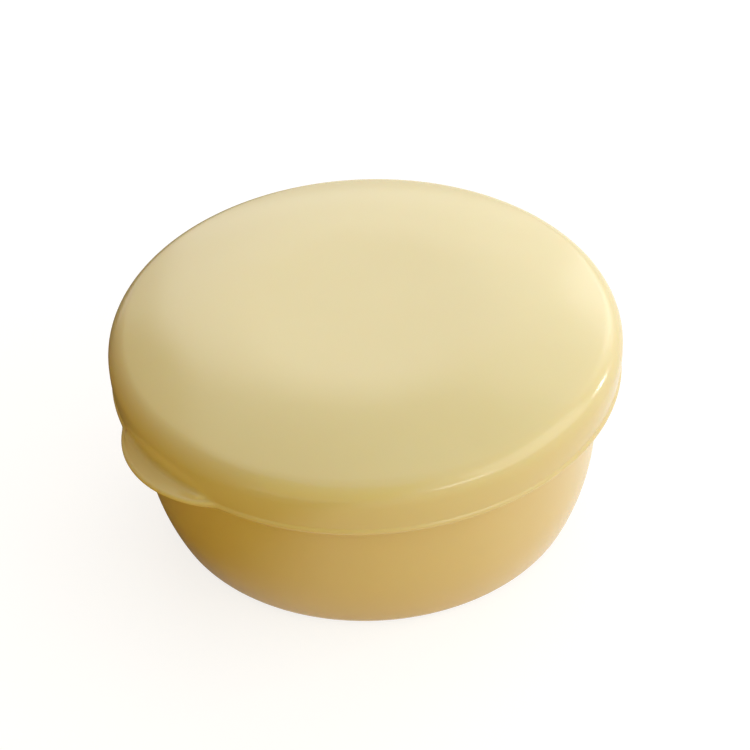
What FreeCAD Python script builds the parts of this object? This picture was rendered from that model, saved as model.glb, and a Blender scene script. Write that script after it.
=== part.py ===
import FreeCAD, Part
import math
import os

# Travel soap box: a round bowl, a snap lid with a pull tab, and a drain tray that stands in the bowl.
# The origin is the middle of the foot, +Z is up, and the tab points along -Y.
# Lengths are millimetres and angles are degrees.

# Whole box
overall_diameter = 100.0
overall_height = 47.0

# Lid shell: a flat crown, a sloping margin, a tight shoulder and a slightly barrelled skirt
lid_depth = 15.5
lid_wall = 1.5
crown_flat_radius = 20.0
crown_rise = 7.96
shoulder_radius = 3.5
side_radius = 30.0
edge_bead_radius = 0.55
edge_bead_proud = 0.25

# Snap bead inside the skirt, and the plug that seals the mouth of the bowl
snap_height = 1.2
snap_radius = 0.7
snap_proud = 0.45
snap_undercut = 0.3
land_rise_share = 0.68
plug_depth = 2.5
plug_wall = 1.2
plug_bevel = 0.4
plug_clearance = 0.25

# Pull tab on the skirt's lower edge
tab_reach = 4.2
tab_arc_radius = 21.6
tab_blend_radius = 4.0
tab_blend_sink = 0.15
tab_thickness = 1.3
tab_cove_radius = 3.0
tab_cove_sink = 0.3
tab_root_depth = 0.7
tab_edge_round = 0.45
tab_sweep_angle = 100.0

# Bowl: a drafted wall over a rounded belly, a foot ring, and a snap ring under the rim
bowl_wall = 1.6
bowl_floor = 1.6
draft_angle = 7.5
ring_lift = 1.45
ring_section_radius = 1.0
ring_proud = 0.9
rim_round = 0.5
seat_clearance = 0.1
belly_height = 15.5
belly_radius = 45.0
foot_fillet = 4.2
foot_width = 4.0
foot_recess = 0.8
recess_run = 0.6
inner_corner_radius = 5.0

# Drain tray: a slotted plate on legs, with a finger hole to lift it by and ribs that carry the soap
tray_thickness = 1.6
tray_clearance = 0.6
tray_bevel = 0.4
finger_hole_radius = 8.0
collar_height = 1.0
collar_width = 1.6
leg_height = 5.0
leg_top_radius = 2.6
leg_foot_radius = 2.1
leg_count = 4
leg_circle_share = 0.61
slot_width = 3.2
inner_slot_count = 10
inner_slot_shares = (0.28, 0.53)
outer_slot_count = 20
outer_slot_shares = (0.70, 0.91)
rib_width = 1.6
rib_height = 1.0
rib_bevel = 0.4
rib_count = 10
rib_shares = (0.28, 0.91)

# How far a cutter runs past the faces it cuts
cut_overrun = 1.0

AXIS = FreeCAD.Vector(0, 0, 1)
ACROSS = FreeCAD.Vector(0, 1, 0)
ORIGIN = FreeCAD.Vector(0, 0, 0)
FULL_TURN_ANGLE = 360.0
TAB_ANGLE = -90.0


def at(r, z):
    """A point of a section: r out from the axis, z up."""
    return FreeCAD.Vector(r, 0, z)


def on_circle(centre, towards, radius):
    """The point of a circle that lies towards another point."""
    return centre + (towards - centre).normalize() * radius


def meet_circles(centre_a, radius_a, centre_b, radius_b, normal):
    """The two points where circles of one plane cross."""
    way = centre_b - centre_a
    span = way.Length
    along = (span ** 2 + radius_a ** 2 - radius_b ** 2) / (2 * span)
    middle = centre_a + way * (along / span)
    side = way.cross(normal).normalize() * math.sqrt(radius_a ** 2 - along ** 2)
    return middle - side, middle + side


class Outline:
    """A closed flat outline, drawn edge by edge from a starting point."""

    def __init__(self, start):
        self.start = start
        self.pen = start
        self.edges = []

    def line_to(self, end):
        self.edges.append(Part.LineSegment(self.pen, end).toShape())
        self.pen = end

    def arc_to(self, middle, end):
        self.edges.append(Part.Arc(self.pen, middle, end).toShape())
        self.pen = end

    def around(self, centre, end):
        """The arc about a centre from the pen to the end, the short way."""
        between = (self.pen - centre) + (end - centre)
        self.arc_to(on_circle(centre, centre + between, (end - centre).Length), end)

    def round_to(self, corner, after, radius):
        """A line towards a corner, and the round there that sets off towards the point after it."""
        back = (self.pen - corner).normalize()
        onward = (after - corner).normalize()
        half_angle = back.getAngle(onward) / 2
        tangent = radius / math.tan(half_angle)
        inward = (back + onward).normalize()
        self.line_to(corner + back * tangent)
        middle = corner + inward * (radius / math.sin(half_angle) - radius)
        self.arc_to(middle, corner + onward * tangent)

    def bevel_to(self, corner, after, size):
        """A line towards a corner, and the bevel there that sets off towards the point after it."""
        self.line_to(on_circle(corner, self.pen, size))
        self.line_to(on_circle(corner, after, size))

    def face(self):
        if self.pen != self.start:
            self.line_to(self.start)
        return Part.Face(Part.Wire(self.edges))

    def revolved(self, angle=FULL_TURN_ANGLE):
        solid = self.face().revolve(ORIGIN, AXIS, angle)
        if solid.Volume < 0:
            solid.reverse()
        return solid

    def raised(self, height):
        return self.face().extrude(AXIS * height)


# Heights and radii that the lid and the bowl share
lid_radius = overall_diameter / 2
edge_z = overall_height - lid_depth
widest_z = overall_height - crown_rise
side_centre = at(lid_radius - side_radius, widest_z)
shoulder_centre = at(lid_radius - shoulder_radius, widest_z)
draft = math.radians(draft_angle)


def side_radius_at(z, depth=0):
    """Radius of the lid's barrelled side at a height, or of the surface at a depth inside it."""
    return side_centre.x + math.sqrt((side_radius - depth) ** 2 - (z - widest_z) ** 2)


snap_z = edge_z + snap_height
snap_mouth_radius = side_radius_at(snap_z, lid_wall) - snap_proud
land_z = widest_z + (shoulder_radius - lid_wall) * land_rise_share
rim_z = land_z - seat_clearance
ring_z = snap_z + ring_lift
ring_radius = snap_mouth_radius + snap_undercut


def wall_radius_at(z, depth=0):
    """Radius of the bowl's drafted wall at a height, or of the surface at a depth inside it."""
    return ring_radius - ring_proud + (z - ring_z) * math.tan(draft) - depth / math.cos(draft)


# The belly is an arc that leaves the drafted wall smoothly, and the floor is above the foot's recess
belly_top = at(wall_radius_at(belly_height), belly_height)
belly_centre = belly_top - at(math.cos(draft), -math.sin(draft)) * belly_radius
floor_z = foot_recess + bowl_floor


def belly_corner_centre(round_radius, bottom_z, depth=0):
    """Centre of the round that joins the belly, at a depth inside it, to a flat at the bottom."""
    drop = belly_centre.z - bottom_z - round_radius
    reach = math.sqrt((belly_radius - depth - round_radius) ** 2 - drop ** 2)
    return at(belly_centre.x + reach, bottom_z + round_radius)


def bowl_bore_at(z):
    """Inner radius of the bowl at a height above the round of its floor."""
    if z > belly_height:
        return wall_radius_at(z, bowl_wall)
    return belly_centre.x + math.sqrt((belly_radius - bowl_wall) ** 2 - (z - belly_centre.z) ** 2)


def make_lid_shell():
    """Crown, margin, shoulder and skirt in one wall, with the edge bead, the snap bead and the plug."""
    margin_run = shoulder_centre.x - crown_flat_radius
    margin_gain = margin_run ** 2 + crown_rise ** 2 - shoulder_radius ** 2
    margin_radius = margin_gain / (2 * (crown_rise - shoulder_radius))
    margin_centre = at(crown_flat_radius, overall_height - margin_radius)
    margin_end = on_circle(margin_centre, shoulder_centre, margin_radius)
    bead = edge_bead_centre()
    bead_top = meet_circles(side_centre, side_radius, bead, edge_bead_radius, ACROSS)
    snap = at(snap_mouth_radius + snap_radius, snap_z)
    snap_ends = meet_circles(side_centre, side_radius - lid_wall, snap, snap_radius, ACROSS)
    snap_low, snap_high = sorted(snap_ends, key=lambda point: point.z)
    inner_shoulder = shoulder_radius - lid_wall
    land_reach = math.sqrt(inner_shoulder ** 2 - (land_z - widest_z) ** 2)
    plug_z = land_z - plug_depth
    plug_depth_in_wall = bowl_wall + plug_clearance
    plug_root = at(wall_radius_at(land_z, plug_depth_in_wall), land_z)
    plug_outer = at(wall_radius_at(plug_z, plug_depth_in_wall), plug_z)
    plug_inner = at(plug_outer.x - plug_wall, plug_z)
    ceiling_rise = math.sqrt((margin_radius - lid_wall) ** 2 - (plug_inner.x - margin_centre.x) ** 2)
    plug_ceiling = at(plug_inner.x, margin_centre.z + ceiling_rise)

    shell = Outline(at(0, overall_height))
    shell.line_to(at(crown_flat_radius, overall_height))
    shell.around(margin_centre, margin_end)
    shell.around(shoulder_centre, at(lid_radius, widest_z))
    shell.around(side_centre, max(bead_top, key=lambda point: point.z))
    shell.around(bead, at(bead.x, edge_z))
    shell.line_to(at(side_radius_at(edge_z, lid_wall), edge_z))
    shell.around(side_centre, snap_low)
    shell.arc_to(at(snap_mouth_radius, snap_z), snap_high)
    shell.around(side_centre, at(lid_radius - lid_wall, widest_z))
    shell.around(shoulder_centre, at(shoulder_centre.x + land_reach, land_z))
    shell.line_to(plug_root)
    shell.bevel_to(plug_outer, plug_inner, plug_bevel)
    shell.bevel_to(plug_inner, plug_ceiling, plug_bevel)
    shell.line_to(plug_ceiling)
    shell.around(margin_centre, at(crown_flat_radius, overall_height - lid_wall))
    shell.line_to(at(0, overall_height - lid_wall))
    return shell.revolved()


def edge_bead_centre():
    """Centre of the bead that stiffens the skirt's lower edge."""
    z = edge_z + edge_bead_radius
    return at(side_radius_at(z) + edge_bead_proud - edge_bead_radius, z)


def make_tab():
    """A leaf-shaped tab whose top sweeps up the skirt in a cove, and whose ends run out along the edge bead."""
    bead_radius = edge_bead_centre().x + edge_bead_radius
    tip_radius = bead_radius + tab_reach
    top_z = edge_z + tab_thickness
    cove_z = top_z + tab_cove_radius
    cove_radius = side_radius_at(cove_z) - tab_cove_sink
    root_radius = side_radius_at(edge_z) - tab_root_depth

    flange = Outline(at(root_radius, edge_z))
    flange.line_to(at(tip_radius + tab_reach, edge_z))
    flange.line_to(at(tip_radius + tab_reach, top_z))
    flange.line_to(at(cove_radius + tab_cove_radius, top_z))
    flange.around(at(cove_radius + tab_cove_radius, cove_z), at(cove_radius, cove_z))
    flange.line_to(at(root_radius, cove_z))
    swept = flange.revolved(tab_sweep_angle)
    swept.rotate(ORIGIN, AXIS, TAB_ANGLE - tab_sweep_angle / 2)

    run_out_radius = bead_radius - tab_blend_sink
    leaf_centre = FreeCAD.Vector(0, tab_arc_radius - tip_radius, 0)
    blends = meet_circles(ORIGIN, run_out_radius + tab_blend_radius,
                          leaf_centre, tab_arc_radius + tab_blend_radius, AXIS)
    right, left = sorted(blends, key=lambda point: -point.x)
    leaf = Outline(leaf_centre)
    leaf.line_to(on_circle(ORIGIN, right, run_out_radius))
    leaf.around(right, on_circle(leaf_centre, right, tab_arc_radius))
    leaf.arc_to(FreeCAD.Vector(0, -tip_radius, 0), on_circle(leaf_centre, left, tab_arc_radius))
    leaf.around(left, on_circle(ORIGIN, left, run_out_radius))
    blank = leaf.raised(tab_thickness + tab_cove_radius)
    blank.translate(AXIS * edge_z)
    tab = swept.common(blank).Solids[0]
    return tab.makeFillet(tab_edge_round, leaf_edges(tab))


def leaf_edges(tab):
    """The upper and lower edges of the tab's curved sides, which stand about centres off the lid's axis."""
    found = []
    for face in tab.Faces:
        curved = isinstance(face.Surface, Part.Cylinder)
        if curved and face.Surface.Center.cross(AXIS).Length > tab_edge_round:
            found += [edge for edge in face.Edges if not is_upright(edge)]
    return found


def is_upright(edge):
    first, last = edge.Vertexes[0].Point, edge.Vertexes[-1].Point
    return (last - first).cross(AXIS).Length < edge.Length / 2


def make_lid():
    return make_lid_shell().fuse(make_tab()).removeSplitter().Solids[0]


def make_bowl():
    """One wall from the foot ring up to the rim, with the snap ring that the lid clicks under."""
    foot = belly_corner_centre(foot_fillet, 0)
    inner = belly_corner_centre(inner_corner_radius, floor_z, bowl_wall)
    foot_inner_radius = foot.x - foot_width
    along = at(math.sin(draft), math.cos(draft))
    ring = at(ring_radius - ring_section_radius, ring_z)
    wall_point = at(wall_radius_at(ring_z), ring_z)
    ring_foot = wall_point + along * (ring - wall_point).dot(along)
    half_chord = math.sqrt(ring_section_radius ** 2 - (ring - ring_foot).Length ** 2)
    rim_outer = at(wall_radius_at(rim_z), rim_z)
    rim_inner = at(wall_radius_at(rim_z, bowl_wall), rim_z)
    inner_belly_top = on_circle(belly_centre, belly_top, belly_radius - bowl_wall)

    wall = Outline(at(0, foot_recess))
    wall.line_to(at(foot_inner_radius - recess_run, foot_recess))
    wall.line_to(at(foot_inner_radius, 0))
    wall.line_to(at(foot.x, 0))
    wall.around(foot, on_circle(belly_centre, foot, belly_radius))
    wall.around(belly_centre, belly_top)
    wall.line_to(ring_foot - along * half_chord)
    wall.arc_to(at(ring_radius, ring_z), ring_foot + along * half_chord)
    wall.round_to(rim_outer, rim_inner, rim_round)
    wall.round_to(rim_inner, inner_belly_top, rim_round)
    wall.line_to(inner_belly_top)
    wall.around(belly_centre, on_circle(belly_centre, inner, belly_radius - bowl_wall))
    wall.around(inner, at(inner.x, floor_z))
    wall.line_to(at(0, floor_z))
    return wall.revolved()


def stadium(inner_radius, outer_radius, width, base_z, height):
    """A round-ended bar that lies along +X between two radii."""
    half = width / 2
    up = AXIS * base_z
    near = FreeCAD.Vector(inner_radius + half, half, 0) + up
    far = FreeCAD.Vector(outer_radius - half, half, 0) + up
    across = FreeCAD.Vector(0, width, 0)
    bar = Outline(near)
    bar.line_to(far)
    bar.arc_to(FreeCAD.Vector(outer_radius, 0, 0) + up, far - across)
    bar.line_to(near - across)
    bar.arc_to(FreeCAD.Vector(inner_radius, 0, 0) + up, near)
    return bar.raised(height)


def ring_of(shape, count, first_angle=0):
    """Copies of a shape, spaced evenly about the axis."""
    copies = []
    for index in range(count):
        copy = shape.copy()
        copy.rotate(ORIGIN, AXIS, first_angle + FULL_TURN_ANGLE * index / count)
        copies.append(copy)
    return copies


def make_drain_tray():
    """A plate with a collared finger hole, then legs, soap ribs and drain slots in rings."""
    under_z = floor_z + seat_clearance + leg_height
    top_z = under_z + tray_thickness
    radius = bowl_bore_at(under_z) - tray_clearance
    collar_radius = finger_hole_radius + collar_width
    collar_z = top_z + collar_height

    plate = Outline(at(finger_hole_radius, under_z))
    plate.bevel_to(at(radius, under_z), at(radius, top_z), tray_bevel)
    plate.bevel_to(at(radius, top_z), at(collar_radius, top_z), tray_bevel)
    plate.line_to(at(collar_radius, top_z))
    plate.bevel_to(at(collar_radius, collar_z), at(finger_hole_radius, collar_z), tray_bevel)
    plate.bevel_to(at(finger_hole_radius, collar_z), at(finger_hole_radius, under_z), tray_bevel)
    tray = plate.revolved()

    leg = Part.makeCone(leg_foot_radius, leg_top_radius, leg_height,
                        FreeCAD.Vector(radius * leg_circle_share, 0, under_z - leg_height))
    rib = stadium(*[radius * share for share in rib_shares], rib_width, top_z, rib_height)
    rib_tops = [edge for edge in rib.Edges if edge.BoundBox.ZMin > top_z + rib_height / 2]
    rib = rib.makeChamfer(rib_bevel, rib_tops)
    slots = []
    for shares, count in ((inner_slot_shares, inner_slot_count), (outer_slot_shares, outer_slot_count)):
        ends = [radius * share for share in shares]
        slot = stadium(*ends, slot_width, under_z - cut_overrun, tray_thickness + 2 * cut_overrun)
        half_pitch_angle = FULL_TURN_ANGLE / count / 2
        slots += ring_of(slot, count, half_pitch_angle)
    tray = tray.cut(slots)
    tray = tray.fuse(ring_of(leg, leg_count) + ring_of(rib, rib_count))
    return tray.removeSplitter().Solids[0]


os.makedirs("parts", exist_ok=True)
pieces = {"bowl": make_bowl(), "drain_tray": make_drain_tray(), "lid": make_lid()}
for name, shape in pieces.items():
    shape.exportStep("parts/" + name + ".step")
    box = shape.optimalBoundingBox(False)
    print(name, "is one solid:", shape.isValid() and len(shape.Solids) == 1)
    print("  volume", round(shape.Volume), "mm3, reaches", box)
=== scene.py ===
# %% [markdown]
# # A travel soap box in cream polypropylene
#
# This lesson dresses a round travel soap box for its picture: a bowl, a lid with a pull tab, and a drain
# tray inside. The construction model already holds every piece at its real size and on its own moving body.
# We load it as a fixed frame, turn finer skins for the two shells on a lathe made of Blender's own
# operators, and give each piece the look of moulded plastic. Everything is in metres in the frame's own
# axes: +Z up, the tab along -Y, the foot on z = 0.

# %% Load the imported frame
import math

import bpy
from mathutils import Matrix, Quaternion, Vector, kdtree


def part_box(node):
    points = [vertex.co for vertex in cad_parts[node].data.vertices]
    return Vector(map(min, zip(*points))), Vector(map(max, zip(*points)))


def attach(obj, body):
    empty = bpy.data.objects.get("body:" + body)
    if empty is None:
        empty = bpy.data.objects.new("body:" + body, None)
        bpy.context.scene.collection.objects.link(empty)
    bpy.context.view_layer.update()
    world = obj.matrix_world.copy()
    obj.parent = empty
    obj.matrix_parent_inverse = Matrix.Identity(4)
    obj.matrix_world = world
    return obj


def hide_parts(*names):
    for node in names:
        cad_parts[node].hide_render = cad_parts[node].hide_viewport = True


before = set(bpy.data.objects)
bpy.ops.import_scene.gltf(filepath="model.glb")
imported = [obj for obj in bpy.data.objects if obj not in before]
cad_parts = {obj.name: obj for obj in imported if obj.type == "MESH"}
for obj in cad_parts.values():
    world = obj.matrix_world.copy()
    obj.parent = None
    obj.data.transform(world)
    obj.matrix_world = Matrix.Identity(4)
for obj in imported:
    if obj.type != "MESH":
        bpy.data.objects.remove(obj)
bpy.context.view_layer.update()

print("frame nodes:", sorted(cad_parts))

# %% [markdown]
# ## Sizes
#
# The outer sizes come from the frame, so the skins always fit the construction model. The others are the
# sizes that a mould maker would put on the drawing: wall thickness, radii, clearances. We draw sections in
# millimetres, because that is how such parts are measured, and turn them to metres only when a mesh is
# made.

# %% Sizes from the frame, and the drawing's own sizes in millimetres
MM = 0.001
lid_low, lid_high = [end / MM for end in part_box("lid")]
bowl_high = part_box("bowl")[1] / MM
lid_radius, lid_top, lid_edge = lid_high.x, lid_high.z, lid_low.z
tab_tip = -lid_low.y
ring_radius, rim_top = bowl_high.x, bowl_high.z

lid_wall = 1.5
crown_flat_radius = 20.0
crown_rise = 8.67
shoulder_radius = 5.0
side_radius = 26.0
bowl_wall = 1.6
draft = math.radians(7.5)
print(f"lid {2 * lid_radius:.1f} across and {lid_top - lid_edge:.1f} deep, tab tip {tab_tip:.1f} out")

# %% [markdown]
# ## Drawing a section
#
# A turned shape is all in its section: half of the cut through the axis. Straight runs need only their
# ends, and each round is an arc about a known centre, so we only ever write centres, radii and ends. Two
# small helpers give the points of an arc and the points where two circles cross, which is how a draughtsman
# finds where rounds meet.

# %% Helpers for sections
def at(r, z):
    """A point of a section: r out from the axis, z up."""
    return Vector((r, 0, z))


def towards(centre, target, distance):
    """The point that lies a distance from a centre, on the way to a target."""
    return centre + (target - centre).normalized() * distance


def arc(centre, start, end, steps):
    """The points of an arc about a centre from start to end, the short way, without the first."""
    turn = (start - centre).rotation_difference(end - centre)
    parts = [Quaternion(turn.axis, turn.angle * step / steps) for step in range(1, steps + 1)]
    return [centre + part @ (start - centre) for part in parts]


def crossings(centre_a, radius_a, centre_b, radius_b):
    """The two points where circles of one section cross, the lower one first."""
    way = centre_b - centre_a
    along = (way.length_squared + radius_a ** 2 - radius_b ** 2) / (2 * way.length)
    middle = centre_a + way.normalized() * along
    side = way.cross(Vector((0, 1, 0))).normalized() * math.sqrt(radius_a ** 2 - along ** 2)
    return sorted((middle - side, middle + side), key=lambda point: point.z)


def corner(before, point, after, radius, steps):
    """The points of a rounded corner between two straight runs."""
    back, onward = (before - point).normalized(), (after - point).normalized()
    half = back.angle(onward) / 2
    centre = point + (back + onward).normalized() * (radius / math.sin(half))
    start = point + back * (radius / math.tan(half))
    end = point + onward * (radius / math.tan(half))
    return [start, *arc(centre, start, end, steps)]


widest = lid_top - crown_rise
side_centre = at(lid_radius - side_radius, widest)
shoulder_centre = at(lid_radius - shoulder_radius, widest)


def side_at(z, depth=0):
    """Radius of the lid's slightly barrelled skirt at a height, or of the surface at a depth inside it."""
    return side_centre.x + math.sqrt((side_radius - depth) ** 2 - (z - widest) ** 2)


print(f"the lid is widest {widest:.2f} up, and its edge is {side_at(lid_edge):.2f} from the axis")

# %% [markdown]
# ## The lathe
#
# With a section in hand, the quickest way to a clean round shell is Spin: one vertex is pushed along the
# section by Extrude, and the chain is then spun once round the upright axis. A primitive gives the first
# vertex, by merging a plane to its centre. Spin leaves a seam and, on the axis, a stack of points, so the
# doubles are merged and the normals are recalculated. Small facets along the rounds and a fine spin keep
# the highlights smooth.

# %% A lathe made of operators
weld_gap = MM / 500


def turned(name, section, spin_steps, sharp_degrees=28):
    """A closed shell turned from a section in millimetres that starts and ends on the axis."""
    points = [point * MM for point in section]
    bpy.ops.object.select_all(action="DESELECT")
    bpy.ops.mesh.primitive_plane_add(size=MM, enter_editmode=True)
    bpy.ops.mesh.merge(type="CENTER")
    bpy.ops.transform.translate(value=points[0])
    for here, there in zip(points, points[1:]):
        bpy.ops.mesh.extrude_vertices_move(TRANSFORM_OT_translate={"value": there - here})
    bpy.ops.mesh.select_all(action="SELECT")
    bpy.ops.mesh.spin(steps=spin_steps, angle=math.tau, center=(0, 0, 0), axis=(0, 0, 1))
    bpy.ops.mesh.select_all(action="SELECT")
    bpy.ops.mesh.remove_doubles(threshold=weld_gap)
    bpy.ops.mesh.normals_make_consistent(inside=False)
    bpy.ops.object.mode_set(mode="OBJECT")
    piece = bpy.context.object
    piece.name = piece.data.name = name
    bpy.ops.object.shade_smooth_by_angle(angle=math.radians(sharp_degrees))
    print(f"{name}: {len(section)} points spun to {len(piece.data.polygons)} faces")
    return piece


# %% [markdown]
# ## The lid's lower edge
#
# The skirt ends in a thin bead that stiffens it, and on one side the bead is drawn out into a leaf-shaped
# pull tab. On the mould both are one edge, so we draw one edge too: a section that knows how far it has to
# reach out. With no reach it is the bead, and with some it is the tab, with a cove above, a top that falls
# a little and a rounded rim. All these sections have the same number of points at even spacing, so the tab
# can later be pulled out of the turned lid without a seam.

# %% The edge as a section with a reach
bead_radius = 0.85
bead_proud = 0.45
bead_centre = at(side_at(lid_edge + bead_radius) + bead_proud - bead_radius, lid_edge + bead_radius)
bead_reach = bead_centre.x + bead_radius
tab_thickness = 1.3
tab_round = 0.6
tab_cove = 0.9
bead_cove = 0.5
tab_full_reach = 2.0
tab_fall = 0.8
edge_rise = 6.0
edge_points = 64


def eased(share):
    """Goes smoothly from 0 to 1."""
    share = min(1.0, max(0.0, share))
    return share * share * (3 - 2 * share)


def between(small, large, share):
    """The value at a share of the way from a small one to a large one."""
    return small + (large - small) * share


def evenly(path, count):
    """As many points again along a path, evenly spaced."""
    runs = [(there - here).length for here, there in zip(path, path[1:])]
    marks = [sum(runs) * step / count for step in range(1, count)]
    points, done, index = [path[0]], 0.0, 0
    for mark in marks:
        while done + runs[index] < mark:
            done += runs[index]
            index += 1
        points.append(path[index].lerp(path[index + 1], (mark - done) / runs[index]))
    return [*points, path[-1]]


def edge_section(reach):
    """From the skirt over the cove and the rim to the inner corner, for a bead drawn out by a reach."""
    share = eased(reach / tab_full_reach)
    thickness = between(2 * bead_radius, tab_thickness, share)
    rim_round = between(bead_radius, tab_round, share)
    cove = between(bead_cove, tab_cove, share)
    top = lid_edge + thickness
    root = top + tab_fall * share
    rim = bead_reach + reach - rim_round
    upper, lower = at(rim, top - rim_round), at(rim, lid_edge + rim_round)
    drop = root + cove - widest
    cove_centre = at(side_centre.x + math.sqrt((side_radius + cove) ** 2 - drop ** 2), root + cove)
    landing = at(cove_centre.x, root)
    if cove_centre.x > rim:
        cove_centre = crossings(side_centre, side_radius + cove, upper, rim_round + cove)[1]
        landing = towards(upper, cove_centre, rim_round)
    start = at(side_at(lid_edge + edge_rise), lid_edge + edge_rise)
    lift_off = towards(side_centre, cove_centre, side_radius)
    path = [start, *arc(side_centre, start, lift_off, 24), *arc(cove_centre, lift_off, landing, 16)]
    if landing.x < rim:
        path.append(at(rim, top))
    path += arc(upper, path[-1], at(rim + rim_round, upper.z), 16)
    path += [at(rim + rim_round, lower.z)] if upper.z > lower.z else []
    path += arc(lower, path[-1], at(rim, lid_edge), 16)
    path.append(at(side_at(lid_edge, lid_wall), lid_edge))
    return evenly(path, edge_points)


bead_section = edge_section(0)
print(f"the bead stands {bead_reach - side_at(lid_edge):.2f} proud, on {len(bead_section)} points")

# %% [markdown]
# ## The lid
#
# From the axis outwards the lid has a flat crown, a wide sloping margin, a tight shoulder and the skirt,
# then the edge, and inside it a snap bead that clicks under the bowl's ring and a plug that closes the
# bowl's mouth. The outside and inside are one closed line, so the wall is real and the lid can be lifted in
# another pose and still look whole.

# %% Turn the lid
snap_height = 1.2
snap_radius = 0.7
snap_proud = 0.45
snap_undercut = 0.3
ring_lift = 1.45
ring_proud = 0.9
seat_clearance = 0.1
plug_depth = 2.5
plug_wall = 1.2
plug_round = 0.4
plug_clearance = 0.25
snap_z = lid_edge + snap_height
ring_z = snap_z + ring_lift
land_z = rim_top + seat_clearance


def wall_at(z, depth=0):
    """Radius of the bowl's drafted wall at a height, or of the surface at a depth inside it."""
    return ring_radius - ring_proud + (z - ring_z) * math.tan(draft) - depth / math.cos(draft)


def lid_section():
    """Half of the cut through the lid: out from the top of the crown, round the edge and back inside."""
    run = shoulder_centre.x - crown_flat_radius
    rise = crown_rise - shoulder_radius
    margin_radius = (run ** 2 + crown_rise ** 2 - shoulder_radius ** 2) / (2 * rise)
    margin_centre = at(crown_flat_radius, lid_top - margin_radius)
    crown_end = at(crown_flat_radius, lid_top)
    margin_end = towards(margin_centre, shoulder_centre, margin_radius)
    section = [at(0, lid_top), at(crown_flat_radius / 2, lid_top), crown_end]
    section += arc(margin_centre, crown_end, margin_end, 20)
    section += arc(shoulder_centre, margin_end, at(lid_radius, widest), 16)
    section += arc(side_centre, section[-1], bead_section[0], 4)
    section += bead_section[1:]

    inner_side = side_radius - lid_wall
    snap_centre = at(ring_radius - snap_undercut + snap_radius, snap_z)
    snap_low, snap_high = crossings(side_centre, inner_side, snap_centre, snap_radius)
    section.append(snap_low)
    section += arc(snap_centre, snap_low, at(snap_centre.x - snap_radius, snap_z), 6)
    section += arc(snap_centre, section[-1], snap_high, 6)
    section += arc(side_centre, snap_high, at(lid_radius - lid_wall, widest), 8)
    inner_shoulder = shoulder_radius - lid_wall
    land_reach = math.sqrt(inner_shoulder ** 2 - (land_z - widest) ** 2)
    section += arc(shoulder_centre, section[-1], at(shoulder_centre.x + land_reach, land_z), 6)

    depth = bowl_wall + plug_clearance
    plug_z = land_z - plug_depth
    root, outer = at(wall_at(land_z, depth), land_z), at(wall_at(plug_z, depth), plug_z)
    inner = at(outer.x - plug_wall, plug_z)
    ceiling = math.sqrt((margin_radius - lid_wall) ** 2 - (inner.x - crown_flat_radius) ** 2)
    top = at(inner.x, margin_centre.z + ceiling)
    section += [root, *corner(root, outer, inner, plug_round, 5)]
    section += [*corner(outer, inner, top, plug_round, 5), top]
    section += arc(margin_centre, top, at(crown_flat_radius, lid_top - lid_wall), 16)
    return [*section, at(0, lid_top - lid_wall)]


lid_shell = turned("lid_shell", lid_section(), spin_steps=360)

# %% [markdown]
# ## The pull tab
#
# Seen from above the tab is a leaf: one wide arc whose ends run out along the bead in small blends. A
# Boolean union of a separate tab would leave a ragged seam in the gloss, so we pull the tab out of the
# lid's own mesh instead. Each point of the lower edge near the tab moves to its place in the section with
# the reach that the leaf has at its angle.

# %% Pull the tab out of the edge
tab_arc_radius = 21.6
tab_blend_radius = 4.0
same_point = 0.01
leaf_centre = tab_tip - tab_arc_radius
blend_centre = bead_reach + tab_blend_radius
blend_cosine = (leaf_centre ** 2 + blend_centre ** 2 - (tab_arc_radius + tab_blend_radius) ** 2)
blend_angle = math.acos(blend_cosine / (2 * leaf_centre * blend_centre))
leaf_share = tab_arc_radius / (tab_arc_radius + tab_blend_radius)
leaf_end = Vector((leaf_centre, 0)).lerp(
    Vector((blend_centre * math.cos(blend_angle), blend_centre * math.sin(blend_angle))), leaf_share)
leaf_angle = math.atan2(leaf_end.y, leaf_end.x)


def leaf_reach(angle):
    """How far the tab's outline stands past the bead, at an angle from the tab's middle."""
    if angle < leaf_angle:
        across = leaf_centre * math.sin(angle)
        return leaf_centre * math.cos(angle) + math.sqrt(tab_arc_radius ** 2 - across ** 2) - bead_reach
    off = blend_angle - angle
    across = blend_centre * math.sin(off)
    return blend_centre * math.cos(off) - math.sqrt(tab_blend_radius ** 2 - across ** 2) - bead_reach


edge_tree = kdtree.KDTree(len(bead_section))
for index, point in enumerate(bead_section):
    edge_tree.insert(point, index)
edge_tree.balance()
pulled, sections = 0, {}
for vertex in lid_shell.data.vertices:
    place = vertex.co / MM
    angle = abs(math.atan2(place.x, -place.y))
    _, index, gap = edge_tree.find(at(math.hypot(place.x, place.y), place.z))
    if angle < blend_angle and gap < same_point:
        column = round(angle, 4)
        if column not in sections:
            sections[column] = edge_section(leaf_reach(angle))
        out = sections[column][index]
        way = Vector((place.x, place.y, 0)).normalized()
        vertex.co = (way * out.x + Vector((0, 0, out.z))) * MM
        pulled += 1
lid_shell.data.update()
print(f"{pulled} points pulled out over {len(sections)} angles, to a reach of {leaf_reach(0):.2f} mm")

# %% [markdown]
# ## The bowl
#
# The bowl is a second turned shell: a foot ring round a shallow recess, a rounded belly, a wall that leans
# out by the draft that lets it leave the mould, and a ring under the rim that the lid snaps over. Only the
# belly and part of the wall show while the lid is on, but the rest is there for the pose with the lid
# lifted.

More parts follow.
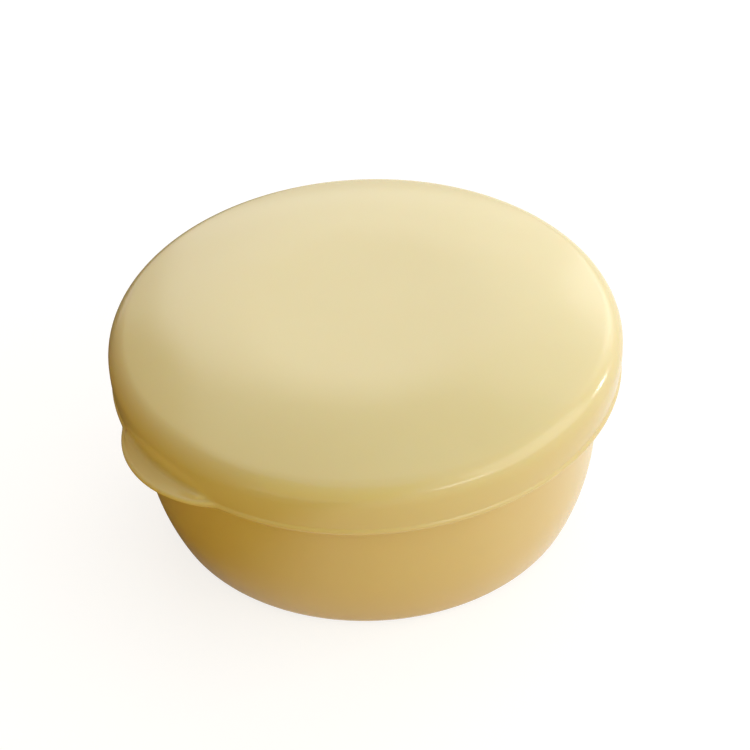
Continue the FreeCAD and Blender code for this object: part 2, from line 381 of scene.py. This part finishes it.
# %% Turn the bowl
ring_section_radius = 1.0
rim_round = 0.5
belly_height = 15.5
belly_radius = 45.0
foot_fillet = 4.2
foot_width = 4.0
foot_recess = 0.8
recess_run = 0.6
bowl_floor = 1.6
inner_corner_radius = 5.0
floor_z = foot_recess + bowl_floor
belly_top = at(wall_at(belly_height), belly_height)
belly_centre = belly_top - at(math.cos(draft), -math.sin(draft)) * belly_radius


def belly_corner(radius, bottom_z, depth=0):
    """Centre of the round that joins the belly, at a depth inside it, to a flat at the bottom."""
    drop = belly_centre.z - bottom_z - radius
    out = math.sqrt((belly_radius - depth - radius) ** 2 - drop ** 2)
    return at(belly_centre.x + out, bottom_z + radius)


def bowl_section():
    """Half of the cut through the bowl: out from the foot's middle, up over the rim and back inside."""
    foot = belly_corner(foot_fillet, 0)
    inner = belly_corner(inner_corner_radius, floor_z, bowl_wall)
    hollow = foot.x - foot_width
    up_wall = at(math.sin(draft), math.cos(draft))
    ring = at(ring_radius - ring_section_radius, ring_z)
    wall_point = at(wall_at(ring_z), ring_z)
    ring_foot = wall_point + up_wall * (ring - wall_point).dot(up_wall)
    half_chord = math.sqrt(ring_section_radius ** 2 - (ring - ring_foot).length_squared)
    ring_low, ring_high = ring_foot - up_wall * half_chord, ring_foot + up_wall * half_chord
    rim_outer, rim_inner = at(wall_at(rim_top), rim_top), at(wall_at(rim_top, bowl_wall), rim_top)
    inner_belly_top = towards(belly_centre, belly_top, belly_radius - bowl_wall)

    section = [at(0, foot_recess), at(hollow - recess_run, foot_recess), at(hollow, 0), at(foot.x, 0)]
    section += arc(foot, section[-1], towards(belly_centre, foot, belly_radius), 14)
    section += arc(belly_centre, section[-1], belly_top, 12)
    section += [belly_top.lerp(ring_low, share / 6) for share in range(1, 7)]
    section += arc(ring, ring_low, at(ring_radius, ring_z), 6)
    section += arc(ring, section[-1], ring_high, 6)
    section += corner(ring_high, rim_outer, rim_inner, rim_round, 6)
    section += corner(rim_outer, rim_inner, inner_belly_top, rim_round, 6)
    section += [section[-1].lerp(inner_belly_top, share / 6) for share in range(1, 7)]
    section += arc(belly_centre, section[-1], towards(belly_centre, inner, belly_radius - bowl_wall), 10)
    section += arc(inner, section[-1], at(inner.x, floor_z), 12)
    return [*section, at(0, floor_z)]


bowl_shell = turned("bowl_shell", bowl_section(), spin_steps=240)

# %% [markdown]
# ## Riding on the frame
#
# Each new shell takes the place of its construction solid and moves with the same body, so a pose that
# lifts the lid lifts the skin as well. The drain tray's own solid already has its slots, ribs, collar and
# legs with rounded edges, so it stays, and only its finish is new.

# %% Put the pieces on their bodies
for piece, node in ((lid_shell, "lid"), (bowl_shell, "bowl")):
    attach(piece, node)
    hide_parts(node)
    print(piece.name, "rides on", node)

# %% [markdown]
# ## Moulded polypropylene
#
# The box is satin polypropylene, coloured through and a little translucent: light sinks in, spreads and
# comes back warmer, so shaded sides turn to honey while lit ones stay cream. A polished mould leaves a soft
# gloss with a very slight unevenness, which we draw as two noises in real millimetres, one for the colour
# and one for the gloss and bump.

# %% A node, a colour and the plastic
cloud_size = 18 * MM
ripple_size = 2.5 * MM
ripple_depth = 0.02 * MM
light_depth = 4 * MM
gloss_spread = 0.03


def add(tree, kind, inputs=None, **settings):
    """Adds a node with its settings. An input that is given a socket is linked, and any other is set."""
    node = tree.nodes.new(kind)
    for name, value in settings.items():
        setattr(node, name, value)
    for name, value in (inputs or {}).items():
        if isinstance(value, bpy.types.NodeSocket):
            tree.links.new(value, node.inputs[name])
        else:
            node.inputs[name].default_value = value
    return node


def linear(hex_colour):
    """An sRGB hex value as the linear colour that a shader takes."""
    parts = [int(hex_colour[place:place + 2], 16) / 255 for place in (1, 3, 5)]
    return [part / 12.92 if part <= 0.04045 else ((part + 0.055) / 1.055) ** 2.4 for part in parts] + [1]


def moulded_polypropylene(name, colour, deep_colour, roughness):
    """Satin polypropylene, coloured through: a soft gloss over a surface that light enters a little way."""
    material = bpy.data.materials.new(name)
    material.use_nodes = True
    tree = material.node_tree
    tree.nodes.clear()
    place = add(tree, "ShaderNodeTexCoord").outputs["Object"]
    cloud = add(tree, "ShaderNodeTexNoise", {"Vector": place, "Scale": 1 / cloud_size, "Detail": 3})
    ripple = add(tree, "ShaderNodeTexNoise", {"Vector": place, "Scale": 1 / ripple_size, "Detail": 2})
    tint = add(tree, "ShaderNodeMix", {
        "Factor": cloud.outputs["Fac"],
        6: linear(colour),
        7: linear(deep_colour),
    }, data_type="RGBA")
    gloss = add(tree, "ShaderNodeMapRange", {
        "Value": ripple.outputs["Fac"],
        "To Min": roughness - gloss_spread,
        "To Max": roughness + gloss_spread,
    })
    bump = add(tree, "ShaderNodeBump", {
        "Height": ripple.outputs["Fac"],
        "Strength": 0.15,
        "Distance": ripple_depth,
    })
    shader = add(tree, "ShaderNodeBsdfPrincipled", {
        "Base Color": tint.outputs[2],
        "Roughness": gloss.outputs["Result"],
        "Normal": bump.outputs["Normal"],
        "IOR": 1.5,
        "Subsurface Weight": 0.2,
        "Subsurface Radius": (1.0, 0.55, 0.2),
        "Subsurface Scale": light_depth,
    })
    add(tree, "ShaderNodeOutputMaterial", {"Surface": shader.outputs["BSDF"]})
    return material


lid_plastic = moulded_polypropylene("satin_polypropylene_lid", "#E1D3A0", "#DECF99", 0.20)
bowl_plastic = moulded_polypropylene("satin_polypropylene_bowl", "#E1CF98", "#DECB91", 0.24)
tray_plastic = moulded_polypropylene("satin_polypropylene_tray", "#E2D39A", "#DFCF93", 0.30)
lid_shell.data.materials.append(lid_plastic)
bowl_shell.data.materials.append(bowl_plastic)
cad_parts["drain_tray"].material_slots[0].material = tray_plastic
print("plastics:", lid_plastic.name, bowl_plastic.name, tray_plastic.name)

# %% [markdown]
# ## The camera
#
# A product picture is taken with a long lens from some way off, so circles stay true ellipses. The numbers
# below come from fitting the lid's and bowl's outlines: how high the lens stands, how far round from the
# tab, and a small roll. The aim is a point on the axis, and the lens shift puts that point on its own pixel
# of the square picture.

# %% Set the camera
picture_pixels = 750
aim = Vector((0, 0, 25)) * MM
aim_pixel = Vector((367.86, 395.3))
pixels_per_mm = 5.0963
camera_distance = 850 * MM
camera_azimuth, camera_elevation, camera_roll = 54.5, 39.13, 2.79
sensor_mm = 36.0
nearest_seen, farthest_seen = 50 * MM, 20000 * MM


def around(azimuth, elevation, distance):
    """A point seen from the aim at an azimuth, counted from -Y towards +X, and an elevation, in degrees."""
    turn, rise = math.radians(azimuth), math.radians(elevation)
    level = Vector((math.sin(turn), -math.cos(turn), 0))
    return aim + (level * math.cos(rise) + Vector((0, 0, math.sin(rise)))) * distance


def facing(place, target):
    """The turn of a lamp or camera that stands at a place and looks at a target."""
    return (target - place).to_track_quat("-Z", "Y")


camera_data = bpy.data.cameras.new("camera")
camera = bpy.data.objects.new("camera", camera_data)
bpy.context.scene.collection.objects.link(camera)
bpy.context.scene.camera = camera
camera.location = around(camera_azimuth, camera_elevation, camera_distance)
camera.rotation_mode = "QUATERNION"
roll = Quaternion((0, 0, 1), math.radians(-camera_roll))
camera.rotation_quaternion = facing(camera.location, aim) @ roll
camera_data.sensor_width = sensor_mm
camera_data.lens = pixels_per_mm / MM * camera_distance / picture_pixels * sensor_mm
camera_data.shift_x = (picture_pixels / 2 - aim_pixel.x) / picture_pixels
camera_data.shift_y = (aim_pixel.y - picture_pixels / 2) / picture_pixels
camera_data.clip_start, camera_data.clip_end = nearest_seen, farthest_seen
print(f"lens {camera_data.lens:.0f} mm at {camera_distance:.2f} m")

# %% [markdown]
# ## Light
#
# The main light is a wide panel like a window, behind the box and a little to the right: it lights the
# crown and shows in its gloss. A smaller panel adds to that sheen, and another to the sheen on the right
# margin. Their upper edges lie at different heights, so the gloss falls off softly towards the lens. A
# broad panel on the right lights the walls, with a low, dim one next to it, and two small bright ones draw
# the thin streak on the shoulder and the spot at its right end. Each strength is a brightness, where 1 is
# as bright as white paper, and the power follows from the area. The room itself is dim for light, and white
# where the camera or a reflection sees it.

# %% Lamps and world
panel_distance = 1.5
# Each row: name, azimuth and elevation in degrees, width and height in metres, brightness.
panels = (
    ("window_panel", 216, 31, 2.0, 1.2, 1.1),
    ("sheen_panel", 236, 34, 0.9, 0.5, 0.5),
    ("right_sheen_panel", 202, 24, 0.6, 0.5, 1.75),
    ("low_window_panel", 180, 12, 1.3, 0.6, 0.4),
    ("side_panel", 128, 28, 1.5, 1.0, 1.7),
    ("front_panel", 91, 17, 0.6, 0.12, 7.5),
    ("spot_panel", 166, 9, 0.1, 0.14, 42.0),
)
room_brightness = 0.45
white_brightness = 1.0


def panel(name, azimuth, elevation, width, height, brightness):
    """A soft rectangular lamp that faces the box, with its brightness as a multiple of paper white."""
    data = bpy.data.lights.new(name, "AREA")
    data.shape, data.size, data.size_y = "RECTANGLE", width, height
    data.energy = brightness * math.pi * width * height
    lamp = bpy.data.objects.new(name, data)
    bpy.context.scene.collection.objects.link(lamp)
    lamp.location = around(azimuth, elevation, panel_distance)
    lamp.rotation_mode = "QUATERNION"
    lamp.rotation_quaternion = facing(lamp.location, aim)
    print(f"{name}: {width:.2f} by {height:.2f} m, {data.energy:.1f} W")


def seen_directly(tree):
    """1 for rays from the camera, a mirror or clear glass, and 0 for the rays that carry light."""
    path = add(tree, "ShaderNodeLightPath")
    mirrored = add(tree, "ShaderNodeMath", {
        0: path.outputs["Is Camera Ray"],
        1: path.outputs["Is Glossy Ray"],
    }, operation="MAXIMUM")
    either = add(tree, "ShaderNodeMath", {
        0: mirrored.outputs[0],
        1: path.outputs["Is Transmission Ray"],
    }, operation="MAXIMUM")
    return either.outputs[0]


for row in panels:
    panel(*row)

world = bpy.data.worlds.new("dim_white_room")
bpy.context.scene.world = world
world.use_nodes = True
tree = world.node_tree
tree.nodes.clear()
room = add(tree, "ShaderNodeBackground", {"Color": linear("#FFFFFF"), "Strength": room_brightness})
white = add(tree, "ShaderNodeBackground", {"Color": linear("#FFFFFF"), "Strength": white_brightness})
seen = add(tree, "ShaderNodeMixShader", {0: seen_directly(tree), 1: room.outputs[0], 2: white.outputs[0]})
add(tree, "ShaderNodeOutputWorld", {"Surface": seen.outputs[0]})
bpy.context.scene.view_settings.view_transform = "Standard"
print(f"{len(panels)} panels in a room of brightness {room_brightness}")

# %% [markdown]
# ## Floor
#
# The floor is white paper to the camera and in reflections, with a soft shadow, and for the light that it
# gives back it is golden, which is what warms the walls of the box. Seen from below it isn't there, and
# neither is the patch under the foot that no view from above can see, so the underside can be looked at and
# gets some light.

# %% Lay the floor
floor_size = 6.0
paper_glow = 0.8
foot_gap = 0.3
foot_reach = (belly_corner(foot_fillet, 0).x + foot_gap) * MM


def golden_white_paper():
    """Matt paper that looks white and gives back golden light, open from below and under the foot."""
    material = bpy.data.materials.new("golden_white_paper")
    material.use_nodes = True
    tree = material.node_tree
    tree.nodes.clear()
    golden = add(tree, "ShaderNodeBsdfDiffuse", {"Color": linear("#EBC770")})
    paper = add(tree, "ShaderNodeBsdfDiffuse", {"Color": linear("#959595")})
    glow = add(tree, "ShaderNodeEmission", {"Color": linear("#FFFFFF"), "Strength": paper_glow})
    white_paper = add(tree, "ShaderNodeAddShader", {0: paper.outputs[0], 1: glow.outputs[0]})
    shown = add(tree, "ShaderNodeMixShader", {
        0: seen_directly(tree),
        1: golden.outputs[0],
        2: white_paper.outputs[0],
    })
    below = add(tree, "ShaderNodeNewGeometry").outputs["Backfacing"]
    place = add(tree, "ShaderNodeTexCoord").outputs["Object"]
    off_axis = add(tree, "ShaderNodeVectorMath", {0: place}, operation="LENGTH").outputs["Value"]
    under_foot = add(tree, "ShaderNodeMath", {0: off_axis, 1: foot_reach}, operation="LESS_THAN")
    unseen = add(tree, "ShaderNodeMath", {0: below, 1: under_foot.outputs[0]}, operation="MAXIMUM")
    clear = add(tree, "ShaderNodeBsdfTransparent")
    open_paper = add(tree, "ShaderNodeMixShader", {
        0: unseen.outputs[0],
        1: shown.outputs[0],
        2: clear.outputs[0],
    })
    add(tree, "ShaderNodeOutputMaterial", {"Surface": open_paper.outputs[0]})
    return material


bpy.ops.object.select_all(action="DESELECT")
bpy.ops.mesh.primitive_plane_add(size=floor_size)
floor = bpy.context.object
floor.name = "floor"
floor.data.materials.append(golden_white_paper())
print(f"floor {floor_size:.0f} m square, open to {foot_reach / MM:.1f} mm under the foot")

# %% [markdown]
# ## Boards round the box
#
# Boards out of the picture colour the shade, as they do in a studio. A dark brown one on the left keeps
# that side of the box deep, a golden one behind the lens warms the walls that face it, and a pale one
# overhead fills the crown. The last board is dark and lies on the floor to the left. Only reflections see
# it, and it fades in from its near edge, so the gloss of the bowl turns from pale to dark without a line.

# %% Set up the boards
# Each row: name, azimuth and elevation in degrees, distance, width and height in metres, colour.
standing_boards = (
    ("left_card", 318, 22, 1.0, 2.4, 1.7, "#743C16"),
    ("front_card", 38, 40, 1.0, 1.06, 1.5, "#DDCE45"),
    ("ceiling_card", 90, 89.9, 0.9, 1.1, 1.1, "#ECEBEA"),
)
lying_size = 1.4
lying_lift = 0.2 * MM
lying_start = 10 * MM
lying_fade = 35 * MM


def board(name, place, turn, width, height, colour):
    """A dimly glowing board that the camera doesn't see."""
    bpy.ops.object.select_all(action="DESELECT")
    bpy.ops.mesh.primitive_plane_add(size=1)
    sheet = bpy.context.object
    sheet.name = name
    sheet.scale = (width, height, 1)
    sheet.location = place
    sheet.rotation_mode = "QUATERNION"
    sheet.rotation_quaternion = turn
    sheet.visible_camera = False
    finish = bpy.data.materials.new(name + "_glow")
    finish.use_nodes = True
    tree = finish.node_tree
    tree.nodes.clear()
    glow = add(tree, "ShaderNodeEmission", {"Color": linear(colour)}, name="glow")
    add(tree, "ShaderNodeOutputMaterial", {"Surface": glow.outputs[0]}, name="surface")
    sheet.data.materials.append(finish)
    return sheet


def fade_in(tree, share):
    """Lets a board fade in from clear, over a share of its length, from the end of its own Y axis."""
    place = add(tree, "ShaderNodeTexCoord").outputs["Object"]
    along = add(tree, "ShaderNodeSeparateXYZ", {"Vector": place}).outputs["Y"]
    fade = add(tree, "ShaderNodeMapRange", {
        "Value": along,
        "From Min": 0.5,
        "From Max": 0.5 - share,
    }, interpolation_type="SMOOTHSTEP")
    clear = add(tree, "ShaderNodeBsdfTransparent")
    faded = add(tree, "ShaderNodeMixShader", {
        0: fade.outputs["Result"],
        1: clear.outputs[0],
        2: tree.nodes["glow"].outputs[0],
    })
    tree.links.new(faded.outputs[0], tree.nodes["surface"].inputs["Surface"])


for name, azimuth, elevation, distance, width, height, colour in standing_boards:
    spot = around(azimuth, elevation, distance)
    board(name, spot, facing(spot, aim), width, height, colour)

left_turn = math.radians(camera_azimuth - 90)
left = Vector((math.sin(left_turn), -math.cos(left_turn), 0))
lying_place = left * (lying_start + lying_size / 2) + Vector((0, 0, lying_lift))
flat_turn = Quaternion((0, 0, 1), left_turn)
lying_board = board("lying_card", lying_place, flat_turn, lying_size, lying_size, "#303030")
lying_board.visible_shadow = lying_board.visible_diffuse = False
fade_in(lying_board.active_material.node_tree, lying_fade / lying_size)
print(f"{len(standing_boards)} boards stand round the box, and one lies on the floor")
